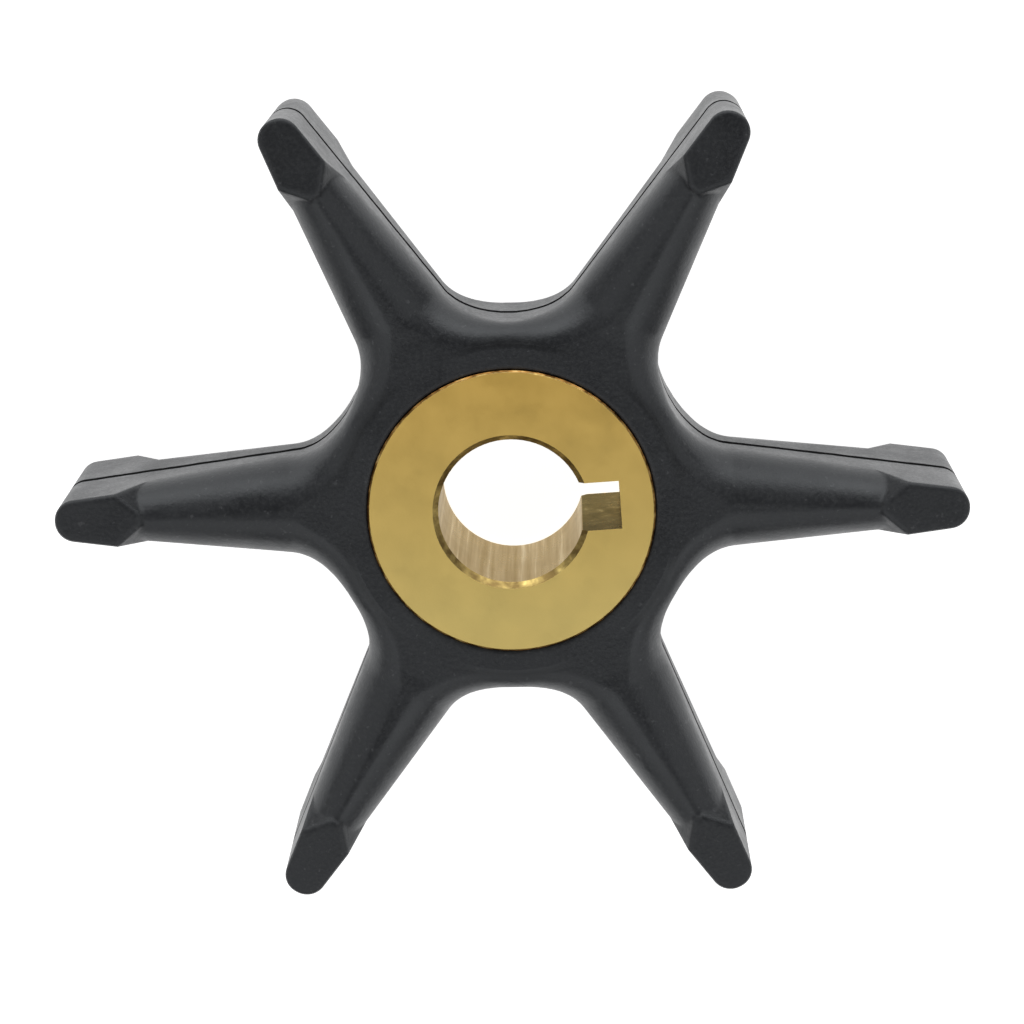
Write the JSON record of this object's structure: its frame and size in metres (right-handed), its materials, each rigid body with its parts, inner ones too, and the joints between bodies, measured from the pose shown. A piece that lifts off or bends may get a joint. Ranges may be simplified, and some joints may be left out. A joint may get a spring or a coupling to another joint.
{
  "type": "pump impeller",
  "caption": "Flexible rubber pump impeller with straight tapering vanes, wide padded tips and a keyed brass bush bonded in its hub.",
  "frame": {"origin": "on the shaft axis, at the middle of the width, on the parting plane of the mould", "axes": "+Z along the shaft axis, +X along the middle of one vane, close to the key slot"},
  "size_m": [0.0592, 0.0516, 0.012],
  "materials": {
    "rubber": "satin moulded black rubber",
    "brass": "satin machined brass"
  },
  "bodies": {
    "root": {"rubber_vanes": "rubber", "brass_bush": "brass"}
  },
  "joints": []
}
